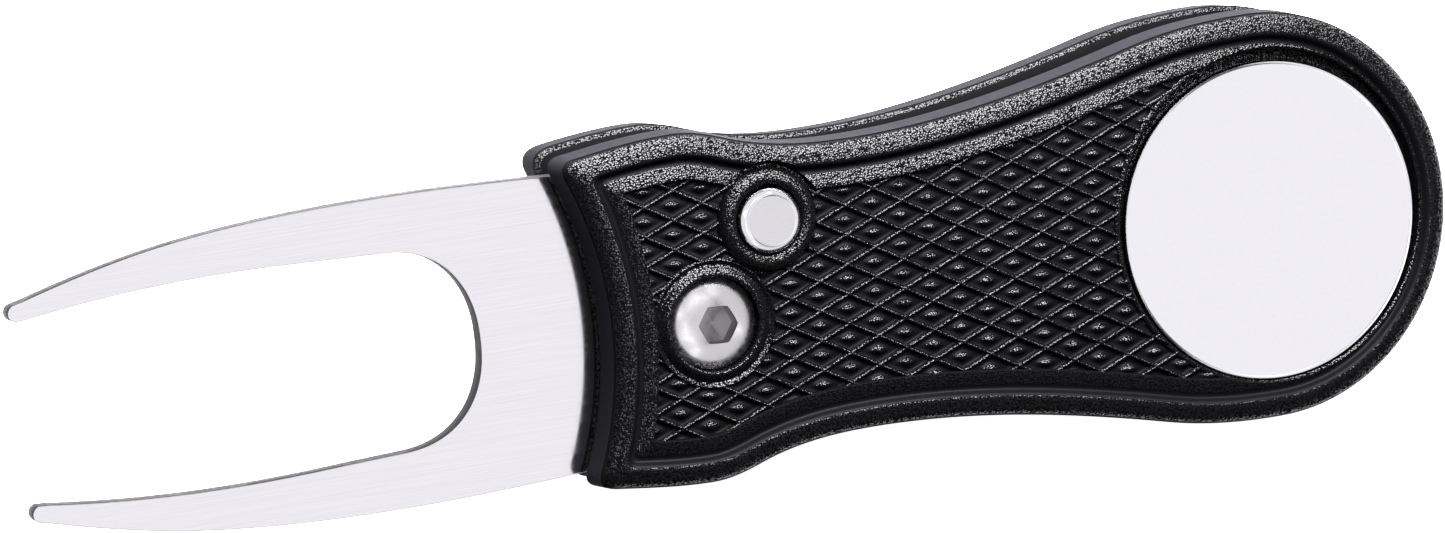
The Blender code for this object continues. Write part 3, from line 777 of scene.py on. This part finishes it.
def button_piece(mats):
    """The release button: a flat blasted face with a polished chamfer."""
    low = corners("release_button")[0].z
    top, r = BUTTON_TOP, BUTTON_R
    collar_low, collar_high = FORK_LOW.z - 0.1, FRONT_IN - 0.1
    cap_low = FRONT_IN + 3.0
    profile = [(0, low), (0.9, low), (1.0, low + 0.1), (1.0, collar_low), (1.95, collar_low)]
    profile += [(1.95, collar_high), (1.4, collar_high), (1.4, cap_low), (r, cap_low), (r, top - 0.36)]
    profile += [(r - 0.03, top - 0.3), (r - 0.3, top - 0.03), (r - 0.36, top)]
    profile += [(r - 0.42, top), (r - 0.5, top - 0.02), (r - 0.56, top), (r - 0.7, top), (0, top)]
    made = turned("button_cap", profile, BUTTON, mats, sharp=20.0)
    chamfer_z = (top - 0.37) * MM
    for face in made.data.polygons:
        if chamfer_z < face.center.z < (top - 0.001) * MM:
            face.material_index = 1
    return made


def marker_piece(mats):
    r, low, top = MARKER_R, MARKER_LOW, MARKER_TOP
    profile = [(0, low), (r - 0.12, low), (r, low + 0.12), (r, top - 0.22), (r - 0.03, top - 0.12)]
    profile += [(r - 0.09, top - 0.05), (r - 0.2, top - 0.012), (r - 0.38, top), (r - 0.6, top), (0, top)]
    return turned("marker_disc", profile, MARKER, mats, ROUND, sharp=30.0)


# ---- springs ----------------------------------------------------------------------------------------
def wire(name, path, radius, mats, sides=14):
    """A round wire along a path of points."""
    bm = bmesh.new()
    rings = []
    side = Vector((0, 0, 1))
    for i, point in enumerate(path):
        ahead = path[min(i + 1, len(path) - 1)] - path[max(i - 1, 0)]
        ahead.normalize()
        side = (side - ahead * side.dot(ahead)).normalized()
        other = ahead.cross(side)
        ring = []
        for k in range(sides):
            a = 2 * math.pi * k / sides
            ring.append(point + (side * math.cos(a) + other * math.sin(a)) * radius)
        rings.append(ring)
    loft(bm, rings)
    return finish_mesh(name, bm, mats, sharp=60.0)


def coil_points(centre, radius, low, high, turns, start, per_turn=40):
    points = []
    for k in range(turns * per_turn + 1):
        t = k / (turns * per_turn)
        a = start + 2 * math.pi * turns * t
        spot = (centre.x + radius * math.cos(a), centre.y + radius * math.sin(a))
        points.append(Vector((*spot, low + (high - low) * t)))
    return points


def torsion_spring(mats):
    low, high = corners("torsion_spring")
    start = math.radians(SPRING_LEG_DEG)
    coil_low, coil_high = low.z + COIL_WIRE_R, FORK_LOW.z - 0.1 - COIL_WIRE_R
    path = coil_points(PIVOT, COIL_R, coil_low, coil_high, COIL_TURNS, start)
    foot = start - math.radians(15)
    foot_r = 5.2
    foot_at = (PIVOT.x + foot_r * math.cos(foot), PIVOT.y + foot_r * math.sin(foot))
    path.insert(0, Vector((*foot_at, coil_low)))
    end = path[-1]
    path += [end + Vector((0, 0, 0.35)), Vector((end.x, end.y, high.z))]
    return wire("torsion_coil", path, COIL_WIRE_R, mats)


def button_spring(mats):
    low, high = corners("button_spring")
    thick = 0.22
    path = coil_points(middle("button_spring"), 1.55, low.z + thick, high.z - thick, 6, 0.0, 28)
    return wire("button_coil", path, thick, mats, 10)


# ---- camera, floor and light --------------------------------------------------------------------------
CAMERA_AIM = Vector((-2.34, 2.47, 8.0)) * MM
CAMERA_DISTANCE, CAMERA_LENS = 0.4504, 147.8
CAMERA_TURNS = (157.48, 67.90, 104.765)  # azimuth, elevation and roll in degrees


def place_camera():
    """A long lens above the fork's side of the tool."""
    azimuth, elevation, roll = (math.radians(turn) for turn in CAMERA_TURNS)
    level = math.cos(elevation)
    back = Vector((level * math.cos(azimuth), level * math.sin(azimuth), math.sin(elevation)))
    right = Vector((0, 0, 1)).cross(back).normalized()
    up = back.cross(right)
    turned_right = right * math.cos(roll) + up * math.sin(roll)
    turned_up = up * math.cos(roll) - right * math.sin(roll)
    data = bpy.data.cameras.new("camera")
    data.lens = CAMERA_LENS
    data.sensor_width = 36.0
    data.clip_start = 0.01
    camera = bpy.data.objects.new("camera", data)
    axes = Matrix((turned_right, turned_up, back)).transposed().to_4x4()
    camera.matrix_world = Matrix.Translation(CAMERA_AIM + back * CAMERA_DISTANCE) @ axes
    bpy.context.scene.collection.objects.link(camera)
    bpy.context.scene.camera = camera


TOOL_MIDDLE = Vector((0.0, 0.0, 0.01))
OVER_GRIP = Vector((24.0, 6.0, TOP)) * MM
LIGHT_COLOUR = (1.0, 0.98, 1.03)


def softbox(name, towards, distance, size, power, aim=TOOL_MIDDLE):
    """A soft rectangle of light, aimed at the tool from the given direction."""
    at = aim + Vector(towards).normalized() * distance
    data = bpy.data.lights.new(name, "AREA")
    data.shape = "RECTANGLE"
    data.size, data.size_y = size
    data.energy = power
    data.color = LIGHT_COLOUR
    light = bpy.data.objects.new(name, data)
    light.location = at
    light.rotation_euler = (aim - at).to_track_quat("-Z", "Y").to_euler()
    light.visible_camera = False
    bpy.context.scene.collection.objects.link(light)
    return light


def light_only(light, pieces):
    """The light falls on these pieces and no others, as behind a photographer's flags."""
    lit = bpy.data.collections.new(light.name + "_lights")
    for piece in pieces:
        lit.objects.link(piece)
    light.light_linking.receiver_collection = lit


CARD_SIZE, CARD_AWAY, CARD_POWER = (1.0, 0.45), 0.5, 1.06
CARD_START, CARD_RISE = 22.0, 0.58  # direction of the first card in degrees, height for 1 m outwards
OVERHEAD = (-0.317, 0.128, 0.94)


def light_the_metal(metal):
    """White cards all round and overhead, for the metal to mirror from every side."""
    turns = [math.radians(90 * k + CARD_START) for k in range(4)]
    ways = [(math.cos(a), math.sin(a), CARD_RISE) for a in turns] + [OVERHEAD]
    for k, towards in enumerate(ways):
        light_only(softbox(f"card_{k}", towards, CARD_AWAY, CARD_SIZE, CARD_POWER), metal)


FLOOR_HALF, FLOOR_Z = 3000, -0.0002
FLOOR_GLOW, WORLD_GLOW = 0.9, 0.1


def pale_floor():
    bm = bmesh.new()
    bmesh.ops.create_grid(bm, x_segments=1, y_segments=1, size=FLOOR_HALF)
    mat, principled = shader("pale_floor", (0.93, 0.93, 0.93), 0.7, specular=0.1)
    principled.inputs["Emission Color"].default_value = (1.0, 1.0, 1.0, 1.0)
    principled.inputs["Emission Strength"].default_value = FLOOR_GLOW
    speck = node(mat, "ShaderNodeTexNoise", Scale=60.0, Detail=2.0)
    join(mat, stretched(mat, (1, 1, 1)), "Vector", speck, "Vector")
    spread(mat, speck, "Fac", principled, "Roughness", 0.66, 0.74)
    floor = finish_mesh("floor", bm, [mat])
    floor.location.z = FLOOR_Z
    return floor


BLACK_PIECES = ("front_moulding", "back_moulding", "front_grip", "back_grip")


def studio(pieces):
    """A faint white world, a top light for all, strong lights for the black, cards for the metal."""
    world = bpy.data.worlds.new("studio")
    world.use_nodes = True
    backdrop = world.node_tree.nodes["Background"]
    backdrop.inputs["Color"].default_value = (1.0, 1.0, 1.0, 1.0)
    backdrop.inputs["Strength"].default_value = WORLD_GLOW
    bpy.context.scene.world = world
    bpy.context.scene.view_settings.view_transform = "Standard"
    softbox("top_softbox", (0.375, -0.156, 1.0), distance=0.6, size=(0.4, 0.4), power=0.42)
    back = softbox("back_softbox", (0.15, 0.8, 0.5), distance=0.3, size=(0.4, 0.22), power=7.0)
    near = softbox(
        "near_strip", (0.0, 0.56, 0.72), distance=0.091, size=(0.095, 0.065), power=0.62, aim=OVER_GRIP
    )
    light_the_metal([piece for piece in pieces if piece.name not in BLACK_PIECES])
    floor = pale_floor()
    for light in (back, near):
        light_only(light, [piece for piece in pieces if piece.name in BLACK_PIECES] + [floor])


# ---- putting it together ----------------------------------------------------------------------------
def dress(piece, body, slot, *nodes):
    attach(piece, body)
    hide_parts(*nodes)


def repaint(cad_node, mat):
    """A CAD node whose shape is right keeps its mesh and gets a finished material."""
    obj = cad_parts[cad_node]
    for slot in obj.material_slots:
        slot.material = mat


def dress_scales(grained, wall_black, groove_painted_shade):
    black = [grained, wall_black, groove_painted_shade]
    dress(front_moulding(black), "handle", "black_moulding", "front_scale")
    holes = [(MAGNET, RECESS_R + 0.2), (SCREW_HEAD, 4.95), (BUTTON, 4.0)]
    grip = lattice_slab("front_grip", [grained, groove_painted_shade], True, holes, CELL_CUTS)
    dress(grip, "handle", "black_moulding", "front_scale")
    dress(back_moulding(black), "handle", "black_moulding", "back_scale")
    holes = [((HEAD_X, 0), REST_PAD_R - 0.05), (PIVOT, 5.2)]
    holes += [(spot, 2.9) for spot in REAR_SCREWS]
    grip = lattice_slab("back_grip", [grained, groove_painted_shade], False, holes, BACK_CELL_CUTS)
    dress(grip, "handle", "black_moulding", "back_scale")


def dress_screws(screw_steel, socket_painted_shade):
    dress(pivot_screw([screw_steel, socket_painted_shade]), "handle", "screw_steel", "pivot_screw")
    dress(barrel_nut([screw_steel]), "handle", "screw_steel", "pivot_barrel_nut")
    for side in ("lower", "upper"):
        cad_node = "rear_screw_" + side
        dress(rear_screw("screw_" + side, cad_node, [screw_steel]), "handle", "screw_steel", cad_node)


def dress_springs(spring_wire):
    """Makes each spring in place of the frame's node, fixed where it stands."""
    spring = torsion_spring([spring_wire])
    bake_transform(spring)
    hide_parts("torsion_spring")
    spring = button_spring([spring_wire])
    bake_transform(spring)
    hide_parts("button_spring")


def build():
    grained = grained_black()
    wall_black = plain_black("wall_black", (0.0082, 0.008, 0.0098), 0.5, 0.002)
    # Smooth black with almost no gloss: painted shade in the grooves, on the grip's floor and on the
    # scales' inner faces.
    groove_painted_shade = plain_black("groove_painted_shade", (0.0012, 0.0012, 0.0014), 0.45, 0.03)
    steel = brushed_steel()
    # The fork's side walls, dark grey and hardly glossy: painted shade on the steel.
    fork_wall_painted_shade = plain_black("fork_wall_painted_shade", (0.018, 0.018, 0.0185), 0.45, 0.02)
    screw_steel = turned_metal("screw_steel", (0.72, 0.71, 0.72), 0.26)
    # Darker steel for the socket: painted shade in its hollow.
    socket_painted_shade = turned_metal("socket_painted_shade", (0.3, 0.29, 0.3), 0.3)
    plain_turned = turned_metal("turned_steel", (0.7, 0.7, 0.71), 0.28)
    blasted = satin_metal("button_face", (0.78, 0.78, 0.79), 0.24)
    chamfer = satin_metal("button_chamfer", (0.9, 0.9, 0.91), 0.1)
    marker_silver = satin_metal("marker_silver", (0.93, 0.93, 0.945), 0.12, 2600.0, 0.000001)
    spring_wire = satin_metal("spring_wire", (0.5, 0.5, 0.52), 0.25)
    nickel = satin_metal("magnet_nickel", (0.66, 0.65, 0.62), 0.2)

    dress_scales(grained, wall_black, groove_painted_shade)
    dress(fork_piece([steel, fork_wall_painted_shade]), "fork", "brushed_steel", "fork_blade")
    dress_screws(screw_steel, socket_painted_shade)
    dress(button_piece([blasted, chamfer]), "button", "button_steel", "release_button")
    dress(marker_piece([marker_silver]), "marker", "marker_silver", "ball_marker")
    dress_springs(spring_wire)

    turned_nodes = ("washer_front", "washer_back", "spring_sleeve", "stop_pin")
    for cad_node in turned_nodes + ("rear_post_lower", "rear_post_upper"):
        repaint(cad_node, plain_turned)
    repaint("marker_magnet", nickel)


place_camera()
build()
studio([piece for piece in bpy.context.scene.objects if piece.type == "MESH" and not piece.hide_render])
